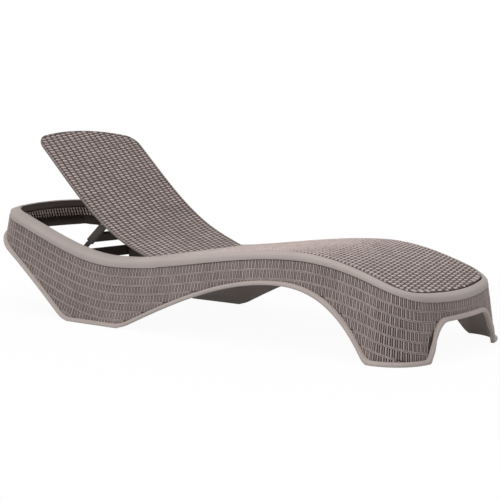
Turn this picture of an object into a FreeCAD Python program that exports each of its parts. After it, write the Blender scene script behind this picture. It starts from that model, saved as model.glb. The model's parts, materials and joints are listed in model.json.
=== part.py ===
"""Sun lounger: a moulded wicker-look tub on four flared feet, with a wave-shaped rim,
a woven seat deck and a reclining woven backrest held up by a folding prop stay.

Frame: millimetres, +Z up, the head end at -X, the toe end at +X, the floor at Z = 0.
"""
import FreeCAD, Part
import math
import os

from FreeCAD import Vector

doc = FreeCAD.newDocument("sun_lounger")

SIZES = [
    # The skirt's outer face, as plan outlines at three levels
    ("waist_level", 195.0, "height of the middle plan outline"),
    ("crown_level", 410.0, "height of the upper plan outline"),
    ("floor_head_end", -993.25, "head end of the floor outline"),
    ("floor_toe_end", 976.75, "toe end of the floor outline"),
    ("floor_head_half", 361.0, "half width of the floor outline at its head end"),
    ("floor_toe_half", 329.0, "half width of the floor outline at its toe end"),
    ("waist_head_end", -987.5, "head end of the middle outline"),
    ("waist_toe_end", 956.75, "toe end of the middle outline"),
    ("waist_head_half", 329.5, "half width of the middle outline at its head end"),
    ("waist_toe_half", 292.5, "half width of the middle outline at its toe end"),
    ("crown_head_end", -936.0, "head end of the upper outline"),
    ("crown_toe_end", 926.75, "toe end of the upper outline"),
    ("crown_head_half", 323.0, "half width of the upper outline at its head end"),
    ("crown_toe_half", 261.0, "half width of the upper outline at its toe end"),
    ("head_corner", 110.0, "corner radius of the skirt at the head end"),
    ("toe_corner", 125.0, "corner radius of the skirt at the toe end"),
    ("end_bow", 900.0, "radius of the bowed ends in plan"),
    ("skirt_wall", 5.0, "thickness of the skirt"),
    ("seat_fit", 0.3, "gap between pieces that seat on each other"),
    # The wave that the rim's lower edge follows
    ("wave_head_x", -944.25, "head end of the wave"),
    ("wave_head_z", 392.0, "height of the wave at the head end"),
    ("wave_head_slope", 0.28, "rise of the wave towards the head end"),
    ("wave_dip_x", -279.25, "lowest place of the wave, under the sitter"),
    ("wave_dip_z", 212.5, "height of the wave at the dip"),
    ("wave_hump_x", 501.75, "highest place of the wave, under the knees"),
    ("wave_hump_z", 288.5, "height of the wave at the hump"),
    ("wave_toe_x", 996.75, "toe end of the wave"),
    ("wave_toe_z", 157.0, "height of the wave at the toe end"),
    ("wave_toe_slope", 0.46, "fall of the wave at the toe end"),
    # The lower edge of the skirt and its rolled bead
    ("head_edge_z", 309.0, "height of the skirt's lower edge at the head end"),
    ("head_foot_start", -509.25, "head side of the head feet"),
    ("head_edge_slope", 0.7, "slope of the edge from the head feet to the head end"),
    ("head_foot_end", -215.25, "toe side of the head feet"),
    ("side_arch_x", 452.0, "highest place of the side arch"),
    ("side_arch_z", 205.0, "height of the side arch"),
    ("side_arch_rise", 0.47, "slope of the arch where it leaves the head feet"),
    ("side_arch_fall", 1.45, "slope of the arch where it meets the toe feet"),
    ("toe_foot_start", 800.0, "head side of the toe feet"),
    ("head_foot_round", 36.0, "how far the corners of the head feet are rounded along the floor"),
    ("toe_foot_round", 16.0, "how far the corners of the toe feet are rounded along the floor"),
    ("end_arch_half", 210.0, "half width of the toe end's arch on the floor"),
    ("end_arch_top_half", 114.0, "half width of the toe end's arch along its top"),
    ("end_arch_z", 117.0, "height of the toe end's arch"),
    ("end_arch_lean", 0.3, "how far that arch leans in by half its height, as a share"),
    ("bead_out", 12.0, "how far the rolled bead stands out from the skirt"),
    ("bead_height", 13.0, "height of the rolled bead"),
    ("head_lip", 8.0, "how far the head end's inner lip stands in from the skirt"),
    ("head_lip_height", 38.0, "height of the head end's inner lip"),
    ("head_seam_half", 150.0, "half width of the head end panel"),
    ("toe_seam_half", 110.0, "half width of the toe end panel"),
    # The rim and the opening inside it
    ("rim_head_height", 38.0, "height of the rim above the wave, from the head end to the dip"),
    ("rim_hump_height", 26.0, "height of the rim above the wave at the hump"),
    ("rim_toe_height", 17.0, "height of the rim above the wave at the toe end"),
    ("rim_overhang", 3.0, "how far the rim stands out over the skirt"),
    ("opening_head_inset", 29.75, "head end of the opening, in from the upper outline"),
    ("opening_toe_inset", 22.0, "toe end of the opening, in from the middle outline"),
    ("opening_head_side", 53.0, "side of the opening at its head end, in from the upper outline"),
    ("opening_toe_side", 25.0, "side of the opening at its toe end, in from the middle outline"),
    ("opening_head_corner", 65.0, "corner radius of the opening at the head end"),
    ("opening_toe_corner", 80.0, "corner radius of the opening at the toe end"),
    ("ledge_width", 14.0, "ledge inside the rim, which the seat deck lies on"),
    ("ledge_height", 8.0, "height of that ledge"),
    # The seat deck, its ribs and the waist bar
    ("deck_side_gap", 3.5, "groove between the seat deck and the rim"),
    ("deck_sink", 1.0, "how far the deck lies below the rim's crest"),
    ("waist_bar_width", 54.0, "width of the bar across the waist"),
    ("rib_thickness", 8.0, "thickness of a rib under the deck"),
    ("rib_depth", 42.0, "depth of a rib below the rim"),
    ("rib_first_x", 113.75, "place of the first rib"),
    ("rib_pitch", 285.0, "spacing of the ribs"),
    # The backrest, modelled lying flat and then raised about its hinge
    ("hinge_x", -138.75, "place of the backrest's hinge line"),
    ("hinge_z", 240.5, "height of the backrest's hinge line"),
    ("back_raise_angle", 24.0, "angle of the backrest above flat, as shown"),
    ("back_sink", 8.0, "how far the flat backrest lies below the rim's top"),
    ("back_thickness", 16.0, "thickness of the backrest panel"),
    ("back_edge", 6.0, "thickness of the backrest panel along its edge"),
    ("back_edge_width", 16.0, "width of the backrest panel's thin edge"),
    ("back_side_gap", 4.0, "gap between the backrest and the rim"),
    ("nose_gap", 4.0, "gap between the backrest's round nose and the waist bar"),
    ("hinge_pin", 8.0, "diameter of a hinge pin"),
    ("hinge_pin_length", 64.0, "length of a hinge pin"),
    ("pin_end_play", 1.0, "gap past each end of a hinge pin"),
    ("hinge_play", 0.05, "radial play of a pin in the piece that turns on it"),
    ("hinge_inset", 85.0, "distance of each hinge from the side of the opening"),
    ("hinge_ear", 22.0, "width of a hinge bracket"),
    ("ear_gap", 1.5, "gap between a hinge bracket and the backrest's nose"),
    ("ear_radius", 10.0, "radius of a hinge bracket's eye"),
    ("stringer_inset", 130.0, "distance of each stringer from the side of the opening"),
    ("stringer_width", 12.0, "width of a stringer under the backrest"),
    ("stringer_depth", 14.0, "depth of a stringer under the backrest"),
    ("stringer_start", -196.25, "lower end of the stringers, lying flat"),
    ("stringer_end", -816.25, "upper end of the stringers, lying flat"),
    ("back_rib_first", -306.25, "place of the first cross rib, lying flat"),
    ("back_rib_pitch", 210.0, "spacing of the cross ribs"),
    # The prop stay, which turns on the backrest and stands on the notched rails
    ("stay_pivot_x", -429.25, "place of the stay's pivot, as shown"),
    ("stay_pivot_z", 356.0, "height of the stay's pivot, as shown"),
    ("stay_lean_angle", 40.0, "angle of the stay below level, as shown"),
    ("stay_length", 234.5, "length of the stay from its pivot to its tip"),
    ("stay_inset", 65.0, "distance of each stay leg from the side of the opening"),
    ("leg_thickness", 16.0, "thickness of a stay leg"),
    ("leg_width", 26.0, "width of a stay leg"),
    ("leg_step", 113.0, "distance from the pivot to where the leg narrows"),
    ("tongue_width", 12.0, "width of the narrow tongue at the leg's end"),
    ("stay_pin", 8.0, "diameter of the stay's pivot pins"),
    ("cheek_thickness", 9.0, "thickness of a cheek beside the stay leg"),
    ("cheek_gap", 1.0, "gap between a cheek and the stay leg"),
    ("cheek_radius", 11.0, "radius of a cheek's eye"),
    ("stay_panel_start", 60.0, "near edge of the stay's cross panel, from the pivot"),
    ("stay_panel_thickness", 10.0, "thickness of the stay's cross panel"),
    # The notched rails and the cross beam
    ("rail_inset", 80.0, "inner face of a notched rail, from the side of the opening"),
    ("rail_head_x", -706.25, "head end of a notched rail"),
    ("rail_toe_x", -551.25, "toe end of a notched rail"),
    ("rail_depth", 24.0, "depth of a notched rail below its rest notch"),
    ("notch_pitch", 40.0, "spacing of the notches"),
    ("notch_depth", 3.0, "height of the step from one notch to the next"),
    ("notch_edge", 1.0, "how far the stay's notch runs past its tip on the toe side"),
    ("beam_x", -728.25, "place of the cross beam"),
    ("beam_thickness", 20.0, "thickness of the cross beam"),
    ("beam_top", 226.0, "height of the cross beam's top"),
    ("beam_height", 40.0, "height of the cross beam"),
]

sheet = doc.addObject("Spreadsheet::Sheet", "sizes")
for row, (alias, value, meaning) in enumerate(SIZES, start=1):
    sheet.set(f"A{row}", meaning)
    sheet.set(f"B{row}", str(value))
    sheet.setAlias(f"B{row}", alias)
doc.recompute()

SIDES = {"left": 1.0, "right": -1.0}


def size(alias):
    return float(sheet.get(alias))


# A length that runs past everything, for cutting shapes
REACH = size("wave_toe_x") - size("wave_head_x")
# The opening inside the rim, set in from the plan outlines
opening_head_end = size("crown_head_end") + size("opening_head_inset")
opening_toe_end = size("waist_toe_end") - size("opening_toe_inset")
opening_head_half = size("crown_head_half") - size("opening_head_side")
opening_toe_half = size("waist_toe_half") - size("opening_toe_side")
# Places across the lounger, in from the side of the opening
hinge_place = opening_head_half - size("hinge_inset")
stringer_place = opening_head_half - size("stringer_inset")
stay_place = opening_head_half - size("stay_inset")
rail_inner = opening_head_half - size("rail_inset")
nodes = []


def keep(label, shape):
    """Adds a sub-part whose shape is worked out below."""
    feature = doc.addObject("Part::Feature", label)
    feature.Label = label
    feature.Shape = shape
    nodes.append(feature)
    return feature


def span_box(x_range, y_range, z_range):
    """A box between two corners."""
    corner = Vector(x_range[0], y_range[0], z_range[0])
    return Part.makeBox(
        x_range[1] - x_range[0], y_range[1] - y_range[0], z_range[1] - z_range[0], corner
    )


def corner_arc(end_x, half_at_end, slope, sense, radius, bow):
    """The arc between a side line and a bowed end, on the +Y side.

    Returns the point on the side line, the arc's middle and the point on the end.
    """
    bow_centre = end_x - sense * bow
    tilt = math.atan(slope)
    inward = Vector(-math.sin(tilt), -math.cos(tilt), 0)
    along = Vector(math.cos(tilt), -math.sin(tilt), 0)
    start = Vector(end_x, half_at_end, 0) + inward * radius
    offset = start - Vector(bow_centre, 0, 0)
    half_b = offset.dot(along)
    rest = offset.dot(offset) - (bow - radius) ** 2
    travel = -half_b + sense * math.sqrt(half_b * half_b - rest)
    centre = start + along * travel
    on_side = centre - inward * radius
    outward = (centre - Vector(bow_centre, 0, 0)).normalize()
    on_end = centre + outward * radius
    middle = (outward - inward).normalize()
    return on_side, centre + middle * radius, on_end


def plan_wire(level, head_end, toe_end, halves, radii, bow):
    """A closed outline with straight tapering sides, round corners and bowed ends."""
    slope = (halves[0] - halves[1]) / (toe_end - head_end)
    toe = corner_arc(toe_end, halves[1], slope, 1.0, radii[1], bow)
    head = corner_arc(head_end, halves[0], slope, -1.0, radii[0], bow)

    def place(point, side):
        return Vector(point.x, side * point.y, level)

    toe_tip = Vector(toe_end, 0, level)
    head_tip = Vector(head_end, 0, level)
    edges = [
        Part.LineSegment(place(head[0], 1), place(toe[0], 1)),
        Part.Arc(place(toe[0], 1), place(toe[1], 1), place(toe[2], 1)),
        Part.Arc(place(toe[2], 1), toe_tip, place(toe[2], -1)),
        Part.Arc(place(toe[2], -1), place(toe[1], -1), place(toe[0], -1)),
        Part.LineSegment(place(toe[0], -1), place(head[0], -1)),
        Part.Arc(place(head[0], -1), place(head[1], -1), place(head[2], -1)),
        Part.Arc(place(head[2], -1), head_tip, place(head[2], 1)),
        Part.Arc(place(head[2], 1), place(head[1], 1), place(head[0], 1)),
    ]
    return Part.Wire([edge.toShape() for edge in edges])


def tub(inset):
    """The solid inside the skirt's flared outer face, set in by a distance."""
    wires = []
    levels = (("floor", 0.0), ("waist", size("waist_level")), ("crown", size("crown_level")))
    for name, level in levels:
        head_half = size(f"{name}_head_half") - inset
        toe_half = size(f"{name}_toe_half") - inset
        radii = (size("head_corner") - inset, size("toe_corner") - inset)
        head_end = size(f"{name}_head_end") + inset
        toe_end = size(f"{name}_toe_end") - inset
        bow = size("end_bow") - inset
        wires.append(plan_wire(level, head_end, toe_end, (head_half, toe_half), radii, bow))
    rise = size("wave_head_z") + 2 * size("rim_head_height") - size("crown_level")
    crown = wires[-1].copy()
    solid = Part.makeLoft(wires, True, False)
    if rise > 0:
        cap = Part.Face(crown).extrude(Vector(0, 0, rise))
        solid = solid.fuse(cap)
    return solid


def opening(inset):
    """The upright space inside the rim, set in by a distance."""
    halves = (opening_head_half - inset, opening_toe_half - inset)
    radii = (size("opening_head_corner") - inset, size("opening_toe_corner") - inset)
    wire = plan_wire(
        0.0,
        opening_head_end + inset,
        opening_toe_end - inset,
        halves,
        radii,
        size("end_bow") - inset,
    )
    return Part.Face(wire).extrude(Vector(0, 0, REACH))


def curve(start, start_slope, end, end_slope):
    """A smooth curve in the side view between two points with given slopes."""
    third = (end[0] - start[0]) / 3
    poles = [
        Vector(start[0], 0, start[1]),
        Vector(start[0] + third, 0, start[1] + third * start_slope),
        Vector(end[0] - third, 0, end[1] - third * end_slope),
        Vector(end[0], 0, end[1]),
    ]
    bezier = Part.BezierCurve()
    bezier.setPoles(poles)
    return bezier.toShape()


def line(start, end):
    return Part.LineSegment(Vector(start[0], 0, start[1]), Vector(end[0], 0, end[1])).toShape()


def wave_knots(share, rise):
    """Points and slopes from the head end to the toe end of a line between wave and crest.

    The share is 0 for the wave, which is the rim's lower edge, and 1 for the rim's crest.
    """
    head_rise = share * size("rim_head_height") + rise
    hump_rise = share * size("rim_hump_height") + rise
    toe_rise = share * size("rim_toe_height") + rise
    return [
        ((size("wave_head_x"), size("wave_head_z") + head_rise), -size("wave_head_slope")),
        ((size("wave_dip_x"), size("wave_dip_z") + head_rise), 0.0),
        ((size("wave_hump_x"), size("wave_hump_z") + hump_rise), 0.0),
        ((size("wave_toe_x"), size("wave_toe_z") + toe_rise), -size("wave_toe_slope")),
    ]


def wave_edges(share, rise):
    """A line between wave and crest, run on straight past both ends."""
    knots = wave_knots(share, rise)
    (head, head_slope), (toe, toe_slope) = knots[0], knots[-1]
    head_far = (-REACH, head[1] + head_slope * (-REACH - head[0]))
    toe_far = (REACH, toe[1] + toe_slope * (REACH - toe[0]))
    edges = [line(head_far, head)]
    for (start, start_slope), (end, end_slope) in zip(knots, knots[1:]):
        edges.append(curve(start, start_slope, end, end_slope))
    edges.append(line(toe, toe_far))
    return edges, head_far, toe_far


WAVE = 0.0
CREST = 1.0


def band(low, high):
    """The solid between two lines, each a share and a rise, across the whole width."""
    low_edges, low_head, low_toe = wave_edges(*low)
    high_edges, high_head, high_toe = wave_edges(*high)
    edges = low_edges + [line(low_toe, high_toe)] + high_edges + [line(high_head, low_head)]
    wire = Part.Wire(Part.__sortEdges__(edges))
    return Part.Face(wire).extrude(Vector(0, 2 * REACH, 0)).translate(Vector(0, -REACH, 0))


def along_curve(start, start_slope, end, end_slope, x):
    """The height and slope of the smooth curve between two points, at a place along it."""
    length = end[0] - start[0]
    share = (x - start[0]) / length
    rest = 1 - share
    height = (
        start[1] * rest * rest * (1 + 2 * share)
        + end[1] * share * share * (1 + 2 * rest)
        + length * share * rest * (start_slope * rest - end_slope * share)
    )
    slope = (
        6 * share * rest * (end[1] - start[1]) / length
        + start_slope * rest * (rest - 2 * share)
        + end_slope * share * (share - 2 * rest)
    )
    return height, slope


def edge_face(grow):
    """What lies below the skirt's lower edge in the side view, grown by a distance."""

    def slant(slope):
        return (math.sqrt(1 + slope * slope) - 1) / slope * grow

    head_edge = size("head_edge_z") + grow
    head_slope = size("head_edge_slope")
    rise = size("side_arch_rise")
    fall = -size("side_arch_fall")
    head_round = size("head_foot_round")
    toe_round = size("toe_foot_round")
    foot_x = size("head_foot_start") + slant(head_slope)
    slope_top = (foot_x - (head_edge - grow) / head_slope, head_edge)
    slope_end = (foot_x - head_round, grow + head_slope * head_round)
    foot_start = (foot_x + head_round, grow)
    arch_start = (size("head_foot_end") - slant(rise), grow)
    foot_end = (arch_start[0] - head_round, grow)
    arch_top = (size("side_arch_x"), size("side_arch_z") + grow)
    arch_end = (size("toe_foot_start") - slant(fall), grow)
    toe_foot = (arch_end[0] + toe_round, grow)
    rise_x = arch_start[0] + head_round
    rise_z, rise_slope = along_curve(arch_start, rise, arch_top, 0.0, rise_x)
    fall_x = arch_end[0] - toe_round
    fall_z, fall_slope = along_curve(arch_top, 0.0, arch_end, fall, fall_x)
    edges = [
        line((-REACH, -REACH), (-REACH, head_edge)),
        line((-REACH, head_edge), slope_top),
        line(slope_top, slope_end),
        curve(slope_end, -head_slope, foot_start, 0.0),
        line(foot_start, foot_end),
        curve(foot_end, 0.0, (rise_x, rise_z), rise_slope),
        curve((rise_x, rise_z), rise_slope, arch_top, 0.0),
        curve(arch_top, 0.0, (fall_x, fall_z), fall_slope),
        curve((fall_x, fall_z), fall_slope, toe_foot, 0.0),
        line(toe_foot, (REACH, grow)),
        line((REACH, grow), (REACH, -REACH)),
        line((REACH, -REACH), (-REACH, -REACH)),
    ]
    return Part.Face(Part.Wire(edges))


def arch_face(grow):
    """The arch through the toe end, seen from that end and grown by a distance."""
    half = size("end_arch_half") + grow
    top_half = size("end_arch_top_half") + grow / 2
    top = size("end_arch_z") + grow
    lean = size("end_arch_lean") * (half - top_half)

    def flank(side):
        bezier = Part.BezierCurve()
        bezier.setPoles(
            [
                Vector(0, side * half, 0),
                Vector(0, side * (half - lean), top / 2),
                Vector(0, side * (top_half + half) / 2, top),
                Vector(0, side * top_half, top),
            ]
        )
        return bezier.toShape()

    corners = [Vector(0, side * half, -top) for side in (1, -1)]
    edges = [
        flank(1),
        Part.LineSegment(Vector(0, top_half, top), Vector(0, -top_half, top)).toShape(),
        flank(-1),
        Part.LineSegment(Vector(0, -half, 0), corners[1]).toShape(),
        Part.LineSegment(corners[1], corners[0]).toShape(),
        Part.LineSegment(corners[0], Vector(0, half, 0)).toShape(),
    ]
    return Part.Face(Part.Wire(Part.__sortEdges__(edges)))


def away(grow):
    """What is cut from under the skirt, grown: below its edge, and the toe end's arch."""
    side = edge_face(grow)
    arch = arch_face(grow)
    below = side.extrude(Vector(0, 2 * REACH, 0)).translate(Vector(0, -REACH, 0))
    arch_start = size("toe_foot_start")
    through = arch.extrude(Vector(REACH, 0, 0)).translate(Vector(arch_start, 0, 0))
    return below.fuse(through)


fit = size("seat_fit")
ledge_height = size("ledge_height")
skirt_wall = size("skirt_wall")

skirt_outer = tub(0.0)
skirt_inner = tub(skirt_wall)
skirt_room = tub(skirt_wall + fit)
under_rim = band((WAVE, -REACH), (WAVE, -fit))


def side_half(side):
    """The half space on one side of the middle."""
    if side > 0:
        return span_box((-REACH, REACH), (0, REACH), (-REACH, REACH))
    return span_box((-REACH, REACH), (-REACH, 0), (-REACH, REACH))


def end_zone(head, clearance):
    """The zone that an end panel fills between the two side panels."""
    if head:
        half = size("head_seam_half") + clearance
        return span_box((-REACH, opening_head_end), (-half, half), (0, REACH))
    half = size("toe_seam_half") + clearance
    return span_box((opening_toe_end, REACH), (-half, half), (0, REACH))


def make_skirt():
    """The side panels and end panels, each with its share of the rolled bead."""
    wall = skirt_outer.cut(skirt_inner).common(under_rim)
    bead = tub(-size("bead_out")).cut(skirt_inner).common(away(size("bead_height")))
    lip_ring = skirt_inner.cut(tub(skirt_wall + size("head_lip")))
    lip = lip_ring.common(away(size("head_lip_height"))).common(end_zone(True, 0.0))
    whole = wall.fuse(bead).cut(away(0.0))
    sides = whole.cut(end_zone(True, fit)).cut(end_zone(False, fit))
    for name, side in SIDES.items():
        keep(f"{name}_side_panel", sides.common(side_half(side)))
    head = whole.common(end_zone(True, 0.0)).fuse(lip.cut(away(0.0)))
    keep("head_end_panel", head.removeSplitter())
    keep("toe_end_panel", whole.common(end_zone(False, 0.0)))


def make_rim():
    """The rim: a ring over the skirt, with an inner ledge for the deck."""
    ring = tub(-size("rim_overhang")).common(band((WAVE, 0.0), (CREST, 0.0)))
    ring = ring.cut(opening(size("ledge_width")))
    upper = opening(0.0).common(band((WAVE, ledge_height), (WAVE, 2 * REACH)))
    keep("top_rim", ring.cut(upper))


def make_deck():
    """The woven seat deck on the rim's ledge, from the waist bar to the toe end."""
    start = waist_bar_end + size("deck_side_gap")
    slab = opening(size("deck_side_gap")).common(
        band((WAVE, ledge_height + fit), (CREST, -size("deck_sink")))
    )
    keep("seat_deck", slab.common(span_box((start, REACH), (-REACH, REACH), (0, REACH))))


nose_radius = size("back_thickness") / 2
waist_bar_start = size("hinge_x") + nose_radius + size("nose_gap")
waist_bar_end = waist_bar_start + size("waist_bar_width")


def make_waist_bar():
    """The smooth bar across the waist, which carries the backrest's hinges."""
    block = opening(fit).common(band((WAVE, ledge_height + fit), (CREST, 0.0)))
    inner = opening(size("ledge_width") + fit)
    block = block.fuse(inner.common(band((WAVE, 0.0), (CREST, 0.0))))
    zone = span_box((waist_bar_start, waist_bar_end), (-REACH, REACH), (0, REACH))
    keep("waist_bar", block.common(zone).removeSplitter())


def make_deck_ribs():
    """Three ribs under the deck, seated between the skirt's sides."""
    half = size("rib_thickness") / 2
    lower = skirt_room.common(band((WAVE, -size("rib_depth")), (WAVE, -fit)))
    upper = opening(size("ledge_width") + fit).common(band((WAVE, -2 * fit), (WAVE, ledge_height)))
    for index, name in enumerate(("thigh_rib", "knee_rib", "calf_rib")):
        place = size("rib_first_x") + index * size("rib_pitch")
        zone = span_box((place - half, place + half), (-REACH, REACH), (0, REACH))
        rib = lower.common(zone).fuse(upper.common(zone))
        keep(name, rib.removeSplitter())


def hinge_axis():
    return Vector(size("hinge_x"), 0, size("hinge_z"))


def across_cylinder(centre, radius, y_range):
    """A cylinder that runs across the lounger."""
    base = Vector(centre.x, y_range[0], centre.z)
    return Part.makeCylinder(radius, y_range[1] - y_range[0], base, Vector(0, 1, 0))


def raised(shape):
    """A piece of the backrest, turned from flat to where it is shown."""
    turned = shape.copy()
    turned.rotate(hinge_axis(), Vector(0, 1, 0), size("back_raise_angle"))
    return turned


back_top = -size("back_sink")
back_under = back_top - size("back_thickness")


def hinge_span(side, half):
    middle = side * hinge_place
    return middle - half, middle + half


def make_backrest():
    """The woven backrest, thin along its edge, with a round nose along its hinge line."""
    gap = size("back_side_gap")
    edge_under = back_top - size("back_edge")
    edge = opening(gap).common(band((CREST, edge_under), (CREST, back_top)))
    body = opening(gap + size("back_edge_width")).common(band((CREST, back_under), (CREST, back_top)))
    slab = edge.fuse(body)
    zone = span_box((-REACH, size("hinge_x")), (-REACH, REACH), (0, REACH))
    axis = hinge_axis()
    slope = (opening_head_half - opening_toe_half) / (
        opening_toe_end - opening_head_end
    )
    half_here = opening_head_half - slope * (axis.x - opening_head_end)
    half_nose = half_here - gap - slope * nose_radius
    panel = slab.common(zone).fuse(across_cylinder(axis, nose_radius, (-half_nose, half_nose)))
    bore = size("hinge_pin") / 2 + size("hinge_play")
    notch_radius = size("ear_radius") + size("ear_gap")
    for side in SIDES.values():
        notch = hinge_span(side, size("hinge_ear") / 2 + size("ear_gap"))
        drill = hinge_span(side, size("hinge_pin_length") / 2 + size("pin_end_play"))
        panel = panel.cut(across_cylinder(axis, notch_radius, notch))
        panel = panel.cut(across_cylinder(axis, bore, drill))
    keep("backrest_panel", raised(panel.removeSplitter()))


def make_stringers():
    """Two stringers along the backrest's underside and cross ribs between them."""
    under = band((CREST, back_under - size("stringer_depth")), (CREST, back_under))
    half = size("stringer_width") / 2
    for name, side in SIDES.items():
        middle = side * stringer_place
        zone = span_box(
            (size("stringer_end"), size("stringer_start")), (middle - half, middle + half), (0, REACH)
        )
        keep(f"{name}_back_stringer", raised(under.common(zone)))
    inner = stringer_place - half - fit
    for index, name in enumerate(("lower_back_rib", "middle_back_rib", "upper_back_rib")):
        place = size("back_rib_first") - index * size("back_rib_pitch")
        zone = span_box((place - half, place + half), (-inner, inner), (0, REACH))
        keep(name, raised(under.common(zone)))


def make_hinge_brackets():
    """Hinge brackets on the waist bar and the pins that the backrest turns on."""
    axis = hinge_axis()
    for name, side in SIDES.items():
        span = hinge_span(side, size("hinge_ear") / 2)
        eye = across_cylinder(axis, size("ear_radius"), span)
        arm_low = axis.z - size("ear_radius")
        arm = span_box((axis.x, waist_bar_start - fit), span, (arm_low, axis.z))
        bracket = eye.fuse(arm).cut(across_cylinder(axis, size("hinge_pin") / 2, span))
        keep(f"{name}_hinge_bracket", bracket.removeSplitter())
        pin = doc.addObject("Part::Cylinder", f"{name}_hinge_pin")
        pin.Label = f"{name}_hinge_pin"
        pin.setExpression("Radius", "sizes.hinge_pin / 2")
        pin.setExpression("Height", "sizes.hinge_pin_length")
        pin.Placement = FreeCAD.Placement(
            Vector(axis.x, hinge_span(side, size("hinge_pin_length") / 2)[0], axis.z),
            FreeCAD.Rotation(Vector(1, 0, 0), -90),
        )
        nodes.append(pin)


def stay_frame():
    """The placement of the stay: X along the leg from the pivot, Z square to it."""
    pivot = Vector(size("stay_pivot_x"), 0, size("stay_pivot_z"))
    along = FreeCAD.Rotation(Vector(0, 1, 0), 180 - size("stay_lean_angle"))
    return FreeCAD.Placement(pivot, along)


def make_stay():
    """The two stepped legs of the prop stay and the panel between them."""
    frame = stay_frame()
    pivot = Vector(0, 0, 0)
    half_leg = size("leg_width") / 2
    half_tongue = size("tongue_width") / 2
    half_thick = size("leg_thickness") / 2
    tip = size("stay_length") - half_tongue
    for name, side in SIDES.items():
        middle = side * stay_place
        span = (middle - half_thick, middle + half_thick)
        leg = span_box((0, size("leg_step")), span, (-half_leg, half_leg))
        leg = leg.fuse(across_cylinder(pivot, half_leg, span))
        leg = leg.fuse(span_box((0, tip), span, (-half_tongue, half_tongue)))
        leg = leg.fuse(across_cylinder(Vector(tip, 0, 0), half_tongue, span))
        bore = size("stay_pin") / 2 + size("hinge_play")
        leg = leg.cut(across_cylinder(pivot, bore, span)).removeSplitter()
        leg.Placement = frame
        keep(f"{name}_stay_leg", leg)
    inner = stay_place - half_thick
    half_panel = size("stay_panel_thickness") / 2
    panel = doc.addObject("Part::Box", "stay_cross_panel")
    panel.Label = "stay_cross_panel"
    panel.setExpression("Length", "sizes.leg_step - sizes.stay_panel_start")
    panel.setExpression(
        "Width",
        "2 * (sizes.crown_head_half - sizes.opening_head_side - sizes.stay_inset) - sizes.leg_thickness",
    )
    panel.setExpression("Height", "sizes.stay_panel_thickness")
    corner = Vector(size("stay_panel_start"), -inner, -half_panel)
    panel.Placement = frame.multiply(FreeCAD.Placement(corner, FreeCAD.Rotation()))
    nodes.append(panel)


def make_stay_brackets():
    """A pair of cheeks under the backrest for each stay leg, and the pivot pins."""
    pivot = Vector(size("stay_pivot_x"), 0, size("stay_pivot_z"))
    flat_back = FreeCAD.Rotation(Vector(0, 1, 0), -size("back_raise_angle"))
    flat = hinge_axis() + flat_back.multVec(pivot - hinge_axis())
    radius = size("cheek_radius")
    half_thick = size("leg_thickness") / 2
    inner_face = half_thick + size("cheek_gap")
    outer_face = inner_face + size("cheek_thickness")
    below_panel = band((CREST, -REACH), (CREST, back_under))
    for name, side in SIDES.items():
        middle = side * stay_place
        for place, low, high in (
            ("inner", -side * outer_face, -side * inner_face),
            ("outer", side * inner_face, side * outer_face),
        ):
            span = (middle + min(low, high), middle + max(low, high))
            block = span_box((flat.x - radius, flat.x + radius), span, (flat.z, REACH))
            cheek = block.fuse(across_cylinder(flat, radius, span)).common(below_panel)
            cheek = cheek.cut(across_cylinder(flat, size("stay_pin") / 2, span))
            keep(f"{name}_{place}_stay_cheek", raised(cheek.removeSplitter()))
        pin = doc.addObject("Part::Cylinder", f"{name}_stay_pin")
        pin.Label = f"{name}_stay_pin"
        pin.setExpression("Radius", "sizes.stay_pin / 2")
        pin.setExpression(
            "Height", "sizes.leg_thickness + 2 * sizes.cheek_gap + 2 * sizes.cheek_thickness"
        )
        pin.Placement = FreeCAD.Placement(
            Vector(pivot.x, middle - outer_face, pivot.z), FreeCAD.Rotation(Vector(1, 0, 0), -90)
        )
        nodes.append(pin)


def make_rails():
    """The notched rails that the stay's tongues stand on, one inside each side panel."""
    tip = stay_frame().multVec(Vector(size("stay_length") - size("tongue_width") / 2, 0, 0))
    floor = tip.z - size("tongue_width") / 2 - fit
    pitch = size("notch_pitch")
    depth = size("notch_depth")
    head = size("rail_head_x")
    toe = size("rail_toe_x")
    base = floor - size("rail_depth")
    half_notch = pitch / 2
    edge = tip.x + size("notch_edge")
    slopes = [(toe, base), (toe, floor - depth), (edge, floor - depth), (edge, floor)]
    place = tip.x - half_notch
    rise = 0.0
    while place > head:
        slopes.append((place, floor + rise))
        rise += depth
        slopes.append((place, floor + rise))
        place -= pitch
    slopes.append((head, floor + rise))
    slopes.append((head, base))
    points = [Vector(x, 0, z) for x, z in slopes]
    face = Part.Face(Part.makePolygon(points + points[:1]))
    for name, side in SIDES.items():
        start = rail_inner if side > 0 else -REACH
        bar = face.extrude(Vector(0, REACH - rail_inner, 0)).translate(Vector(0, start, 0))
        keep(f"{name}_notched_rail", bar.common(skirt_room))


def make_beam():
    """The cross beam between the side panels, behind the rails."""
    half = size("beam_thickness") / 2
    top = size("beam_top")
    block = span_box(
        (size("beam_x") - half, size("beam_x") + half), (-REACH, REACH), (top - size("beam_height"), top)
    )
    keep("cross_beam", block.common(skirt_room))


make_skirt()
make_rim()
make_waist_bar()
make_deck()
make_deck_ribs()
make_backrest()
make_stringers()
make_hinge_brackets()
make_stay()
make_stay_brackets()
make_rails()
make_beam()

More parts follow.
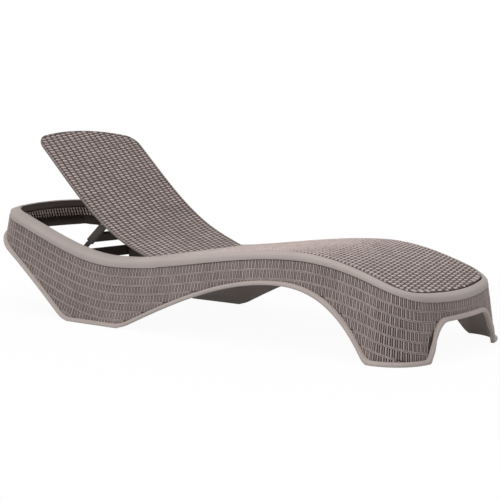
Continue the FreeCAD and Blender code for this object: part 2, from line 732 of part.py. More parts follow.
doc.recompute()
for item in doc.Objects:
    if "Invalid" in item.State or "Error" in item.State:
        raise RuntimeError(f"{item.Label} failed to build")
os.makedirs("parts", exist_ok=True)
for node in nodes:
    shape = node.Shape
    if shape.isNull() or not shape.isValid():
        raise RuntimeError(f"{node.Label} has no valid shape")
    box = shape.BoundBox
    print(
        f"{node.Label}: {len(shape.Solids)} solids, {shape.Volume:.0f} mm3,"
        f" x {box.XMin:.1f} {box.XMax:.1f} y {box.YMin:.1f} {box.YMax:.1f}"
        f" z {box.ZMin:.1f} {box.ZMax:.1f}"
    )
    shape.exportStep(f"parts/{node.Label}.step")
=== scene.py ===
"""Dresses the sun lounger: moulded skirt weave, smooth rim and beads, woven deck and backrest.

Metres, in the lounger's own frame: +X towards the toe end, +Z up, the floor at Z = 0.
"""

import json
import math
from functools import partial

import bmesh
import bpy
import numpy as np
from mathutils import Matrix, Quaternion, Vector
from mathutils.bvhtree import BVHTree


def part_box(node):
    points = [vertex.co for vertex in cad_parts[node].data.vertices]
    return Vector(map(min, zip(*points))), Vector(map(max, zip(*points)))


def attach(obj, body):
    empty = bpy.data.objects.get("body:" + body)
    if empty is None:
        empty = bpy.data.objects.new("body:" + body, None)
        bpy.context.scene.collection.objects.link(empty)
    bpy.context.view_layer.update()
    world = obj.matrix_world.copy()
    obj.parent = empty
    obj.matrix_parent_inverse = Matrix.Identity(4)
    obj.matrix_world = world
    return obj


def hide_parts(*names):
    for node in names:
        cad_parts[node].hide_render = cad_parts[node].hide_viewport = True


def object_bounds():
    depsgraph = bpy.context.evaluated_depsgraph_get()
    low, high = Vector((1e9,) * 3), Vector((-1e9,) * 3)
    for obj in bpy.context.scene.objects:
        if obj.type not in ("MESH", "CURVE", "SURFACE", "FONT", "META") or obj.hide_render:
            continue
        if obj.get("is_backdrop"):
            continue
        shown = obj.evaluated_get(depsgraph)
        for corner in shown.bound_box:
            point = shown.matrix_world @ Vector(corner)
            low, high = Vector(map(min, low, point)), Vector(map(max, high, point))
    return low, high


bl_info = {
    "name": "Sun lounger",
    "version": (1, 0, 0),
    "blender": (4, 5, 0),
    "location": "3D View > Sidebar > Lounger",
    "description": "Weaves, rims and finishes of a moulded wicker-look sun lounger",
    "category": "Object",
}

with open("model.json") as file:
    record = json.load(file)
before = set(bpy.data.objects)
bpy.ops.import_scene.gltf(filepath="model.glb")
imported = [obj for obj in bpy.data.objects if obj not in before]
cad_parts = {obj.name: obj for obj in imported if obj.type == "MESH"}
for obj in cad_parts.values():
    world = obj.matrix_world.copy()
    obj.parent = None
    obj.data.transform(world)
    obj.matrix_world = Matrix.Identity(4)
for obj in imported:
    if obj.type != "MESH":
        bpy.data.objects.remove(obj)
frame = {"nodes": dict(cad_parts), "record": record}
CAD_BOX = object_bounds()
SEED = 11
HALVINGS = 9
UP = Vector((0.0, 0.0, 1.0))
PANELS = ("left_side_panel", "right_side_panel", "head_end_panel", "toe_end_panel")


def hinge_place():
    """The line that the backrest turns about, and how far it stands above flat."""
    joint = next(j for j in frame["record"]["behaviour"]["joints"] if j["name"] == "backrest_recline")
    return Vector(joint["pos_m"]), math.radians(-joint["range_deg"][0])


def setting(label, about, default, make=bpy.props.FloatProperty, **kind):
    """A property that a user can change, with its unit or subtype where one fits."""
    return make(name=label, description=about, default=default, **kind)


in_metres = partial(setting, unit="LENGTH")
as_share = partial(setting, subtype="FACTOR")
as_angle = partial(setting, subtype="ANGLE")
as_colour = partial(setting, make=bpy.props.FloatVectorProperty, subtype="COLOR", size=3)
as_place = partial(setting, make=bpy.props.FloatVectorProperty, subtype="XYZ", size=3)


class LoungerWeave(bpy.types.PropertyGroup):
    """Sizes of the woven and rounded surfaces."""

    column_pitch: in_metres(
        "Column pitch", "Spacing of the raised upright strands in a row of the skirt", 0.0145)
    toe_closing: as_share(
        "Toe closing", "Share by which the column pitch closes up at the toe end", 0.14)
    row_height: in_metres("Row height", "Height of a row of upright strands", 0.031)
    strand_width: in_metres("Strand width", "Width of an upright strand", 0.0053)
    strand_relief: in_metres("Strand relief", "How far a raised upright strand stands out", 0.0017)
    sunk_share: as_share(
        "Sunk share", "Size of an upright strand between two raised ones, as a share", 0.45)
    strand_lean: as_share(
        "Strand lean", "Lean of the uprights at the head end, which fades towards the toes", 0.2)
    binder_width: in_metres(
        "Binder width", "Width of a strand that runs along between two rows", 0.0030)
    binder_relief: in_metres("Binder relief", "How far a binder stands out", 0.0019)
    deck_pitch: in_metres(
        "Deck pitch", "Spacing of the strands across the seat and the backrest", 0.0071)
    deck_column: in_metres(
        "Deck column", "Width of the columns that the strands go over and under", 0.030)
    deck_width: in_metres("Deck strand width", "Width of a strand of the seat and the backrest", 0.0086)
    deck_relief: in_metres("Deck relief", "How far a strand of the seat stands out", 0.0024)
    edging_width: in_metres("Edging width", "Width of the edging round the backrest", 0.005)
    wall: in_metres("Skirt wall", "Thickness of the skirt", 0.005)
    lip: in_metres("Head lip", "How far the head end's inner lip stands in", 0.008)
    lip_height: in_metres("Head lip height", "Height of the head end's inner lip", 0.038)
    rim_slant: as_share(
        "Rim slant", "Share of the rim's height that its top falls towards the outside", 0.42)


class LoungerColours(bpy.types.PropertyGroup):
    """Colours of the finishes, as they look in plain light; the weave gaps, deck gaps, edging, inside and
    dark resin also hold painted light or shade.
    """

    rim: as_colour("Rim", "Smooth moulded resin", (0.402, 0.346, 0.322))
    weave: as_colour("Weave", "Strands of the moulded weave", (0.362, 0.296, 0.280))
    # Edging: painted shade, darker than the weave, for the shaded edge of the backrest.
    edge: as_colour("Edging", "Edge of the backrest", (0.170, 0.142, 0.132))
    # Weave gaps: the dark ground resin, darkened further as painted shade in the recesses between the
    # strands.
    shade: as_colour("Weave gaps", "Resin between the strands", (0.034, 0.026, 0.023))
    # Deck gaps: painted shade in the recesses between the deck strands, a lighter copy of the weave gaps.
    deck_shade: as_colour("Deck gaps", "Resin between the strands of the decks", (0.080, 0.063, 0.058))
    # Inside: painted bounced light, lighter than the rim resin that the skirt is moulded from.
    inside: as_colour("Inside", "Inner faces of the skirt", (0.470, 0.405, 0.380))
    # Dark resin; on the head end's inner faces and lip and on the parts in the backrest's shadow it is
    # painted shade.
    dark: as_colour("Dark resin", "Inner walls, ribs, stay and rails", (0.070, 0.055, 0.050))
    stay: as_colour("Stay", "Legs of the prop stay", (0.085, 0.076, 0.071))
    steel: as_colour("Steel", "Hinge and stay pins", (0.42, 0.42, 0.43))


class LoungerStage(bpy.types.PropertyGroup):
    """The camera and the light."""

    camera_place: as_place("Camera place", "Where the camera stands", (2.4835, -2.9714, 0.6702))
    camera_turn: as_angle(
        "Camera turn", "Angle of the view from straight across the lounger", math.radians(38.707))
    camera_fall: as_angle("Camera fall", "Angle of the view below level", math.radians(5.967))
    camera_roll: as_angle("Camera roll", "Turn of the camera about its own view", math.radians(-0.224))
    lens: setting("Lens", "Focal length on a 36 mm sensor, in millimetres", 76.43)
    sky: setting("Sky", "Strength of the light from all round", 0.52)
    key: setting("Key", "Power of the large lamp above, in watts", 66.0)
    fill: setting("Fill", "Power of the lamp beside the camera, in watts", 20.0)


def surface_of(names, move=Matrix.Identity(4)):
    """A tree for casting rays at CAD nodes, moved by a matrix if one is given."""
    verts = []
    faces = []
    for name in names:
        mesh = frame["nodes"][name].data
        start = len(verts)
        verts += [move @ vert.co for vert in mesh.vertices]
        faces += [[start + index for index in face.vertices] for face in mesh.polygons]
    return BVHTree.FromPolygons(verts, faces)


class Perimeter:
    """Places round the lounger: where each ray starts inside, and which way is outwards.

    The loop starts at the middle of the toe end and runs towards +Y.
    """

    FAR = 0.7
    HEAD_CORNER = Vector((-0.820, 0.205))
    TOE_CORNER = Vector((0.828, 0.165))
    CORNER_RADIUS = 0.125

    def __init__(self, step):
        self.step = step
        toe, head = self.TOE_CORNER, self.HEAD_CORNER
        half = self.run(Vector((toe.x, 0.0)), toe, Vector((1.0, 0.0)))
        half += self.fan(toe, 0.0, math.pi / 2)
        half += self.run(toe, head, Vector((0.0, 1.0)))
        half += self.fan(head, math.pi / 2, math.pi)
        half += self.run(head, Vector((head.x, 0.0)), Vector((-1.0, 0.0)))
        mirrored = [(Vector((o.x, -o.y)), Vector((d.x, -d.y))) for o, d in reversed(half[1:])]
        places = half + [(Vector((head.x, 0.0)), Vector((-1.0, 0.0)))] + mirrored
        self.start = np.array([place[0][:] for place in places])
        self.out = np.array([place[1][:] for place in places])
        outer = self.start + self.out * self.CORNER_RADIUS
        gaps = np.linalg.norm(np.roll(outer, -1, axis=0) - outer, axis=1)
        self.along = np.concatenate([[0.0], np.cumsum(gaps)[:-1]])
        self.length = float(gaps.sum())

    def run(self, first, last, out):
        """Even places along a straight stretch, without its last point."""
        count = max(2, round((last - first).length / self.step))
        return [(first.lerp(last, index / count), out) for index in range(count)]

    def fan(self, centre, first, last):
        """Even places round a corner, without the last one."""
        count = max(2, round(self.CORNER_RADIUS * abs(last - first) / self.step))
        angles = [first + (last - first) * index / count for index in range(count)]
        return [(centre, Vector((math.cos(angle), math.sin(angle)))) for angle in angles]

    def value(self, values, distance):
        """A value at any distance along the loop, from the values at its places."""
        along = np.append(self.along, self.length)
        return float(np.interp(distance % self.length, along, np.append(values, values[0])))

    def at(self, distance):
        """The start and the outward direction at any distance along the loop."""
        start = Vector([self.value(values, distance) for values in self.start.T])
        out = Vector([self.value(values, distance) for values in self.out.T])
        return start, out.normalized()


def spot(start, out, depth, height):
    """The point at a height that lies some way out from a start."""
    return Vector((start[0] + out[0] * depth, start[1] + out[1] * depth, height))


def stand(start, out, outline):
    """The points of a section, from pairs of a distance out and a height."""
    return [spot(start, out, depth, height) for depth, height in outline]


def squarish(angle, power):
    """How far across and up a point lies on a circle that is squared off by a power."""
    return [math.copysign(abs(side) ** power, side) for side in (math.cos(angle), math.sin(angle))]


def cast_in(tree, start, out, height):
    """How far out the surface lies from the start, seen from outside, and its normal."""
    far = Perimeter.FAR
    origin = spot(start, out, far, height)
    hit, normal, _, gap = tree.ray_cast(origin, Vector((-out[0], -out[1], 0.0)), far)
    return (None, None) if hit is None else (far - gap, normal)


def cast_out(tree, start, out, height):
    """How far out the surface lies from the start, seen from inside, and its normal."""
    origin, way = spot(start, out, 0.0, height), Vector((out[0], out[1], 0.0))
    hit, normal, _, gap = tree.ray_cast(origin, way, Perimeter.FAR)
    return (None, None) if hit is None or normal.dot(way) > 0.0 else (gap, normal)


def beyond(tree, start, out, limit):
    """A test of whether the surface at a height lies further out than a limit."""
    return lambda height: (cast_in(tree, start, out, height)[0] or 0.0) > limit


def settle(test, yes, no):
    """The value between two where a test turns from true to false."""
    for _ in range(HALVINGS):
        middle = (yes + no) / 2
        if test(middle):
            yes = middle
        else:
            no = middle
    return yes


class SkirtShape:
    """The skirt's edges at every place round the lounger, measured on the CAD panels."""

    MARCH = 0.006
    CEILING = 0.46
    BEAD_STEP = 0.006
    SMOOTHINGS = 2
    HEAD_SMOOTHINGS = 16
    HEADWARD = 0.02
    LIP_STEP = 0.008
    LEAST_HITS = 3
    WALL_FOOT = 0.0015
    WALL_HEAD = 0.0005
    LEAST_WALL = 0.002
    SPARE_DEPTH = 0.1

    def __init__(self, step):
        self.ring = Perimeter(step)
        self.tree = surface_of(PANELS)
        count = len(self.ring.start)
        self.low, self.high, self.bead_top, self.bead_out = np.full((4, count), np.nan)
        for index in range(count):
            self.measure(index)
        for values in (self.low, self.high, self.bead_top, self.bead_out):
            self.mend(values)
        self.bead_out[:] = np.median(self.bead_out)
        for _ in range(self.SMOOTHINGS):
            self.bead_top = self.smoother(self.bead_top)
        head = self.ring.out[:, 0] < -self.HEADWARD
        for _ in range(self.HEAD_SMOOTHINGS):
            self.low[head] = self.smoother(self.low)[head]

    def smoother(self, values):
        """The values evened out a little with those on both sides."""
        return (np.roll(values, 1) + 2 * values + np.roll(values, -1)) / 4

    def measure(self, index):
        """Finds the lower edge, the top edge and the bead at one place."""
        ray = (self.tree, self.ring.start[index], self.ring.out[index])
        heights = np.arange(self.MARCH / 4, self.CEILING, self.MARCH)
        depths = [cast_in(*ray, height)[0] for height in heights]
        solid = [i for i, value in enumerate(depths) if value is not None]
        if len(solid) < self.LEAST_HITS:
            return
        while len(solid) > self.LEAST_HITS and depths[solid[0]] < depths[solid[2]] - self.LIP_STEP:
            solid.pop(0)
        first, last = solid[0], solid[-1]
        on_edge = beyond(*ray, depths[first] - self.LIP_STEP)
        self.low[index] = settle(on_edge, heights[first], max(0.0, heights[first] - self.MARCH))
        if first == 0:
            self.low[index] = 0.0
        self.high[index] = settle(beyond(*ray, 0.0), heights[last], heights[last] + self.MARCH)
        drop, below, above = max((depths[a] - depths[b], a, b) for a, b in zip(solid, solid[1:]))
        if drop < self.BEAD_STEP:
            return
        on_bead = beyond(*ray, (depths[below] + depths[above]) / 2)
        self.bead_top[index] = settle(on_bead, heights[below], heights[above])
        self.bead_out[index] = drop

    def mend(self, values):
        """Fills places that a ray missed, at a seam, from their neighbours."""
        missing = np.isnan(values)
        known = np.flatnonzero(~missing)
        values[missing] = np.interp(np.flatnonzero(missing), known, values[known])

    def wall_depths(self, index, levels):
        """How far out the wall lies at heights between the bead and the rim."""
        start, out = self.ring.start[index], self.ring.out[index]
        bottom = self.bead_top[index] + self.WALL_FOOT
        top = max(self.high[index] - self.WALL_HEAD, bottom + self.LEAST_WALL)
        heights = np.linspace(bottom, top, levels)
        depths = []
        for height in heights:
            depth = cast_in(self.tree, start, out, height)[0]
            depths.append(depths[-1] if depth is None and depths else depth or self.SPARE_DEPTH)
        return heights, np.array(depths)


def sections_round(step, make):
    """The sections that a function makes round the lounger, without those that it leaves out."""
    ring = Perimeter(step)
    sections = [make(start, out) for start, out in zip(ring.start, ring.out)]
    return [section for section in sections if section]


def add_object(name, data):
    """A new object in the scene."""
    item = bpy.data.objects.new(name, data)
    bpy.context.collection.objects.link(item)
    return item


def mesh_object(name, verts, faces):
    """A new object from points and faces, smoothly shaded."""
    mesh = bpy.data.meshes.new(name)
    mesh.from_pydata([tuple(vert) for vert in verts], [], faces)
    mesh.polygons.foreach_set("use_smooth", [True] * len(mesh.polygons))
    return add_object(name, mesh)


def quads(grid):
    """The faces between the rows and the columns of a grid of point numbers."""
    corners = (grid[:-1, :-1], grid[1:, :-1], grid[1:, 1:], grid[:-1, 1:])
    return np.stack(corners, axis=-1).reshape(-1, len(corners)).tolist()


def sweep(name, sections, closed, finishes, slots):
    """Joins closed cross-sections into one skin; slots give each strip's material."""
    verts = [point for section in sections for point in section]
    grid = np.arange(len(verts)).reshape(len(sections), -1)
    rows = np.append(grid, grid[:1], axis=0) if closed else grid
    faces = quads(np.append(rows, rows[:, :1], axis=1))
    strips = slots * (len(rows) - 1)
    if not closed:
        faces += [grid[0].tolist(), grid[-1, ::-1].tolist()]
        strips += [slots[0], slots[0]]
    piece = mesh_object(name, verts, faces)
    for material in finishes:
        piece.data.materials.append(material)
    piece.data.polygons.foreach_set("material_index", strips)
    shell = bmesh.new()
    shell.from_mesh(piece.data)
    bmesh.ops.recalc_face_normals(shell, faces=shell.faces)
    shell.to_mesh(piece.data)
    shell.free()
    return piece


# Each finish: its colour, roughness, blotches, size and depth of grain, and shine
FINISHES = {
    "rim_resin": ("rim", 0.5, 0.035, 300.0, 0.0005, 0.2),
    "strand_resin": ("weave", 0.52, 0.06, 420.0, 0.0004, 0.1),
    # Painted shade along the backrest's edge.
    "edge_resin": ("edge", 0.52, 0.06, 420.0, 0.0004, 0.2),
    # Dark ground resin with painted shade in the weave's recesses.
    "gap_resin": ("shade", 0.7, 0.12, 240.0, 0.0006, 0.2),
    # Painted shade between the deck strands.
    "deck_gap_resin": ("deck_shade", 0.7, 0.12, 240.0, 0.0006, 0.2),
    # Painted bounced light on the skirt's inner faces.
    "inner_resin": ("inside", 0.6, 0.06, 260.0, 0.0006, 0.2),
    # Dark resin, also painted shade inside the head end and under the backrest.
    "dark_resin": ("dark", 0.7, 0.12, 260.0, 0.0006, 0.06),
    "stay_resin": ("stay", 0.6, 0.08, 280.0, 0.0005, 0.1),
    "pin_steel": ("steel", 0.36, 0.05, 260.0, 0.0002, 0.2),
}
CLOUD = {"Scale": 9.0, "Detail": 4.0}
CLOUD_ENDS = (0.3, 0.7)
GLOSS_SPREAD = 0.07
GRAIN_DETAIL = 3.0
GRAIN_STRENGTH = 0.35


def with_inputs(node, values):
    """A node, once some of its inputs are set."""
    for label, value in values.items():
        node.inputs[label].default_value = value
    return node


def node_space(block):
    """The nodes and the links of a material or a world."""
    block.use_nodes = True
    return block.node_tree.nodes, block.node_tree.links


def wire(links, *wires):
    """Links outputs to inputs, each given as a node, its output, a node and its input."""
    for source, output, target, entry in wires:
        links.new(source.outputs[output], target.inputs[entry])


def shaded(name, colour, rough, blotch, grain, grain_height, shine):
    """A material with soft blotches of colour, uneven gloss and a fine grain."""
    material = bpy.data.materials.new(name)
    nodes, links = node_space(material)
    shader = with_inputs(nodes["Principled BSDF"], {"Specular IOR Level": shine})
    place = nodes.new("ShaderNodeTexCoord")
    cloud = with_inputs(nodes.new("ShaderNodeTexNoise"), CLOUD)
    ramp = nodes.new("ShaderNodeValToRGB")
    ends = zip(ramp.color_ramp.elements, CLOUD_ENDS, (1 - blotch, 1 + blotch))
    for element, position, share in ends:
        element.position = position
        element.color = tuple(min(1.0, value * share) for value in colour) + (1.0,)
    spread = {"To Min": rough - GLOSS_SPREAD, "To Max": rough + GLOSS_SPREAD}
    gloss = with_inputs(nodes.new("ShaderNodeMapRange"), spread)
    fine = with_inputs(nodes.new("ShaderNodeTexNoise"), {"Scale": grain, "Detail": GRAIN_DETAIL})
    depth = {"Strength": GRAIN_STRENGTH, "Distance": grain_height}
    bump = with_inputs(nodes.new("ShaderNodeBump"), depth)
    wire(
        links,
        (place, "Object", cloud, "Vector"),
        (cloud, "Fac", ramp, "Fac"),
        (ramp, "Color", shader, "Base Color"),
        (cloud, "Fac", gloss, "Value"),
        (gloss, "Result", shader, "Roughness"),
        (place, "Object", fine, "Vector"),
        (fine, "Fac", bump, "Height"),
        (bump, "Normal", shader, "Normal"))
    return material


def vary_tone(material):
    """Multiplies a material's colour by each strand's tone: random variation, with painted shade on sunk
    strands and painted light on deck and inner strands.
    """
    nodes, links = node_space(material)
    ramp = next(node for node in nodes if node.bl_idname == "ShaderNodeValToRGB")
    tone = nodes.new("ShaderNodeAttribute")
    tone.attribute_name = "tone"
    blend = nodes.new("ShaderNodeMix")
    blend.data_type = "RGBA"
    blend.blend_type = "MULTIPLY"
    blend.inputs["Factor"].default_value = 1.0
    wire(
        links,
        (ramp, "Color", blend, "A"),
        (tone, "Fac", blend, "B"),
        (blend, "Result", nodes["Principled BSDF"], "Base Color"))


def finish(label):
    """A finish by name, made when it is first asked for."""
    name = f"lounger_{label}"
    if name in bpy.data.materials:
        return bpy.data.materials[name]
    hue, *looks = FINISHES[label]
    material = shaded(name, getattr(bpy.context.scene.lounger_colours, hue), *looks)
    if label == "strand_resin":
        vary_tone(material)
    if label == "pin_steel":
        material.node_tree.nodes["Principled BSDF"].inputs["Metallic"].default_value = 1.0
    return material


STRAND_STATIONS = 7
STRAND_SIDES = 5
ARCH_POWER = 4


def strand_shape(name, end_height, end_width):
    """A strand one long, one wide and one high, arched along its length and round across it."""
    stations = np.linspace(-1.0, 1.0, STRAND_STATIONS)
    across = np.linspace(-1.0, 1.0, STRAND_SIDES)
    verts = []
    for along in stations:
        arch = math.sqrt(max(0.0, 1.0 - along ** ARCH_POWER))
        crown = end_height + (1.0 - end_height) * arch
        taper = end_width + (1.0 - end_width) * arch
        for side in across:
            height = crown * math.sqrt(max(0.0, 1.0 - side * side))
            verts.append((along / 2, side * taper / 2, height))
    return mesh_object(name, verts, quads(np.arange(len(verts)).reshape(STRAND_STATIONS, STRAND_SIDES)))


def strand_tree():
    """Sets a strand on every point of a weave, turned and stretched by the point's own values."""
    name = "Woven strands"
    if name in bpy.data.node_groups:
        return bpy.data.node_groups[name]
    tree = bpy.data.node_groups.new(name, "GeometryNodeTree")
    kinds = {
        "Points": "Geometry", "Strand": "Object", "Finish": "Material", "Width": "Float",
        "Relief": "Float",
    }
    for label, kind in kinds.items():
        tree.interface.new_socket(label, in_out="INPUT", socket_type=f"NodeSocket{kind}")
    tree.interface.new_socket("Weave", in_out="OUTPUT", socket_type="NodeSocketGeometry")
    nodes = tree.nodes
    given = nodes.new("NodeGroupInput")
    result = nodes.new("NodeGroupOutput")
    strand = nodes.new("GeometryNodeObjectInfo")
    turn = nodes.new("GeometryNodeInputNamedAttribute")
    stretch = nodes.new("GeometryNodeInputNamedAttribute")
    for stored, label in ((turn, "turn"), (stretch, "stretch")):
        stored.data_type = "FLOAT_VECTOR"
        stored.inputs["Name"].default_value = label
    rotation = nodes.new("FunctionNodeEulerToRotation")
    sizes = with_inputs(nodes.new("ShaderNodeCombineXYZ"), {"X": 1.0})
    scale = nodes.new("ShaderNodeVectorMath")
    scale.operation = "MULTIPLY"
    placed = nodes.new("GeometryNodeInstanceOnPoints")
    whole = nodes.new("GeometryNodeRealizeInstances")
    dressed = nodes.new("GeometryNodeSetMaterial")
    wire(
        tree.links,
        (given, "Strand", strand, "Object"),
        (turn, "Attribute", rotation, "Euler"),
        (given, "Width", sizes, "Y"),
        (given, "Relief", sizes, "Z"),
        (stretch, "Attribute", scale, 0),
        (sizes, "Vector", scale, 1),
        (given, "Points", placed, "Points"),
        (strand, "Geometry", placed, "Instance"),
        (rotation, "Rotation", placed, "Rotation"),
        (scale, "Vector", placed, "Scale"),
        (placed, "Instances", whole, "Geometry"),
        (whole, "Geometry", dressed, "Geometry"),
        (given, "Finish", dressed, "Material"),
        (dressed, "Geometry", result, "Weave"))
    return tree


# Least and most brightness of a strand, as a share of the weave's colour
RAISED_TONE = (0.86, 1.12)
# Sunk uprights are darker: painted shade in the recess between the raised ones.
SUNK_SHADED_TONE = (0.66, 0.88)
# Painted light: the seat's strands are lighter for the light from above, and they and the backrest's are
# lifted above the weave's colour as painted highlights.
DECK_LIT_TONE = (1.24, 1.58)
BACK_LIT_TONE = (1.06, 1.42)
# Painted light on the head end's inner strands, which lie in shade under the rim.
INNER_LIT_TONE = (2.2, 2.5)


class Strands:
    """Collects the places of strands and turns them into one mesh."""

    def __init__(self):
        self.items = []

    def add(self, place, along, normal, stretch, tone):
        """One strand: its middle, the way it runs, the way it stands out, its share of size, its range of
        tone, painted darker for sunk strands and lighter for deck and inner strands.
        """
        normal = normal.normalized()
        run = (along - normal * along.dot(normal)).normalized()
        turn = Matrix((run, normal.cross(run), normal)).transposed().to_euler()
        self.items.append((place, turn, stretch, tone))

    def between(self, first, last, normal, lap=1.0, tone=RAISED_TONE):
        """One strand from a point to another, its length multiplied by a lap."""
        run = last - first
        self.add((first + last) / 2, run, normal, (run.length * lap, 1.0, 1.0), tone)

    def mesh(self, name, shape, width, relief):
        """The strands as one plain mesh, each with a tone drawn at random from its own range; some ranges
        hold painted light and some painted shade.
        """
        places, turns, stretches, tones = zip(*self.items)
        cloud = mesh_object(name, places, [])
        for label, items in (("turn", turns), ("stretch", stretches)):
            values = cloud.data.attributes.new(label, "FLOAT_VECTOR", "POINT")
            values.data.foreach_set("vector", [value for item in items for value in item])
        tone = cloud.data.attributes.new("tone", "FLOAT", "POINT")
        least, most = np.array(tones).T
        draws = np.random.default_rng(SEED).random(len(places))
        tone.data.foreach_set("value", least + (most - least) * draws)
        modifier = cloud.modifiers.new("Strands", "NODES")
        modifier.node_group = strand_tree()
        values = {"Strand": shape, "Finish": finish("strand_resin"), "Width": width, "Relief": relief}
        for socket in modifier.node_group.interface.items_tree:
            if socket.in_out == "INPUT" and socket.name in values:
                modifier[socket.identifier] = values[socket.name]
        state = bpy.context.evaluated_depsgraph_get()
        woven = bpy.data.meshes.new_from_object(cloud.evaluated_get(state))
        cloud.modifiers.remove(modifier)
        cloud.data = woven
        woven.name = name
        for label in ("turn", "stretch"):
            if label in woven.attributes:
                woven.attributes.remove(woven.attributes[label])
        woven.polygons.foreach_set("use_smooth", [True] * len(woven.polygons))
        return cloud


def discard(shape):
    """Removes a pattern piece that has been used."""
    mesh = shape.data
    bpy.data.objects.remove(shape)
    bpy.data.meshes.remove(mesh)


class LOUNGER_OT_skirt(bpy.types.Operator):
    """Builds the skirt: dark walls, light rolled beads and the woven strands"""

    bl_idname = "lounger.skirt"
    bl_label = "Skirt"

    BEAD_POINTS = 9
    LEVELS = 5
    FINE_STEPS = 3
    # Where the bead's round starts and how far it goes, in half turns
    BEAD_FROM = -0.62
    BEAD_SWEEP = 1.12
    BEAD_SQUARE = 0.75
    # Slots of a panel's finishes; the last is painted shade on inner faces at the head end.
    WALL, BEAD, INNER, INNER_DARK = range(4)
    STRAIGHT = 0.999
    UPRIGHT_ENDS = (0.25, 0.82)
    UPRIGHT_FOOT = 0.001
    UPRIGHT_TOP = 0.002
    SHORTEST = 0.08
    BINDER_ENDS = (0.75, 0.82)
    BINDER_APART = 0.62
    BINDER_LAP = 1.12
    INNER_FROM = 0.001
    INNER_FACING = 0.2
    INNER_ROWS = 3
    INNER_TOP = 0.004
    INNER_GAP = 0.001
    INNER_LEAN = 0.6
    INNER_WIDTH = 1.5

    def execute(self, context):
        weave = context.scene.lounger_weave
        shape = SkirtShape(weave.column_pitch / self.FINE_STEPS)
        self.seams = {"head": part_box("head_end_panel")[1][1], "toe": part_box("toe_end_panel")[1][1]}
        groups = self.share_out(shape.ring)
        for name in PANELS:
            lip = weave.lip if name == "head_end_panel" else 0.0
            piece = self.panel(shape, name, groups[name], weave, lip)
            self.keep(piece)
            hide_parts(name)
        self.weave(shape, weave)
        return {"FINISHED"}

    def owner(self, start, out):
        """The panel that a place on the loop belongs to."""
        end = "head" if start[0] < 0 else "toe"
        if abs(out[0]) > self.STRAIGHT and abs(start[1]) <= self.seams[end]:
            return f"{end}_end_panel"
        return "left_side_panel" if start[1] > 0 else "right_side_panel"

    def share_out(self, ring):
        """The places of each panel, in order along the loop."""
        groups = {name: [] for name in PANELS}
        for index in range(len(ring.start)):
            groups[self.owner(ring.start[index], ring.out[index])].append(index)
        toe = groups["toe_end_panel"]
        split = next((i for i in range(1, len(toe)) if toe[i] - toe[i - 1] > 1), 0)
        groups["toe_end_panel"] = toe[split:] + toe[:split]
        for indices in groups.values():
            indices.append((indices[-1] + 1) % len(ring.start))
        return groups

    def panel(self, shape, name, indices, weave, lip):
        """One panel as a closed skin, with strips for its bead, its outer wall and its inner wall."""
        sections = [self.section(shape, index, weave, lip) for index in indices]
        outer = [self.BEAD] * self.BEAD_POINTS + [self.WALL] * (self.LEVELS - 1)
        strips = outer + [self.INNER] * (len(sections[0]) - len(outer))
        # Inner faces: at the head end painted dark as painted shade, elsewhere painted lighter than the
        # resin as painted bounced light.
        inside = "dark_resin" if lip else "inner_resin"
        # The outer wall between the strands takes the gap colour, with its painted shade.
        finishes = [finish("gap_resin"), finish("rim_resin"), finish(inside), finish("dark_resin")]
        piece = sweep(f"{name}_skin", sections, False, finishes, strips)
        # Inner faces that turn towards the head end get the painted shade as well.
        for face in piece.data.polygons:
            out = shape.ring.out[indices[face.index // len(strips)]]
            if face.material_index == self.INNER and out[0] < -shape.HEADWARD:
                face.material_index = self.INNER_DARK
        return piece

    def section(self, shape, index, weave, lip):
        """A closed section: round the bead, up the wall and down its inner face."""
        start, out = shape.ring.start[index], shape.ring.out[index]
        low, top = shape.low[index], shape.bead_top[index]
        heights, depths = shape.wall_depths(index, self.LEVELS)
        lean = (depths[1] - depths[0]) / (heights[1] - heights[0])
        inner = depths[0] - lean * (heights[0] - low) - weave.wall
        face = depths[0] + shape.bead_out[index]
        middle, reach = (inner + face) / 2, (face - inner) / 2
        centre, half = (low + top) / 2, (top - low) / 2
        outline = []
        for step in range(self.BEAD_POINTS):
            swept = math.pi * self.BEAD_SWEEP * step / (self.BEAD_POINTS - 1)
            across, rise = squarish(math.pi * self.BEAD_FROM + swept, self.BEAD_SQUARE)
            outline.append((middle + reach * across, centre + half * rise))
        outline.extend(zip(depths, heights))
        outline.append((depths[-1] - weave.wall, heights[-1]))
        if lip:
            step = min(low + weave.lip_height, heights[-1] - weave.wall)
            share = (step - low) / (heights[-1] - low)
            wall_there = inner + share * (depths[-1] - weave.wall - inner)
            outline += [(wall_there, step), (wall_there - lip, step)]
        outline.append((inner - lip, low))
        return stand(start, out, outline)

    def weave(self, shape, weave):
        """Upright strands in brick rows, with paired binders along between the rows."""
        uprights = {name: Strands() for name in PANELS}
        binders = {name: Strands() for name in PANELS}
        marks = self.marks(shape.ring, weave)
        count = len(marks) - 1
        rows = math.ceil(float(np.max(shape.high - shape.bead_top)) / weave.row_height)
        for row in range(rows):
            for column in range(count):
                place = column + 0.5 * (row % 2)
                distance, beside = np.interp((place, place + 0.5), np.arange(count + 1), marks)
                pitch = 2 * (beside - distance)
                width = pitch / weave.column_pitch
                self.upright(shape, weave, uprights, distance, row, 1.0, width)
                self.upright(shape, weave, uprights, beside, row, weave.sunk_share, width)
                if row:
                    self.binder(shape, weave, binders, distance, row, pitch)
        upright_shape = strand_shape("upright_strand", *self.UPRIGHT_ENDS)
        binder_shape = strand_shape("binder_strand", *self.BINDER_ENDS)
        for name in PANELS:
            self.keep(uprights[name].mesh(
                f"{name}_uprights", upright_shape, weave.strand_width, weave.strand_relief))
            self.keep(binders[name].mesh(
                f"{name}_binders", binder_shape, weave.binder_width, weave.binder_relief))
        self.inner_weave(shape, weave, upright_shape)
        discard(upright_shape)
        discard(binder_shape)

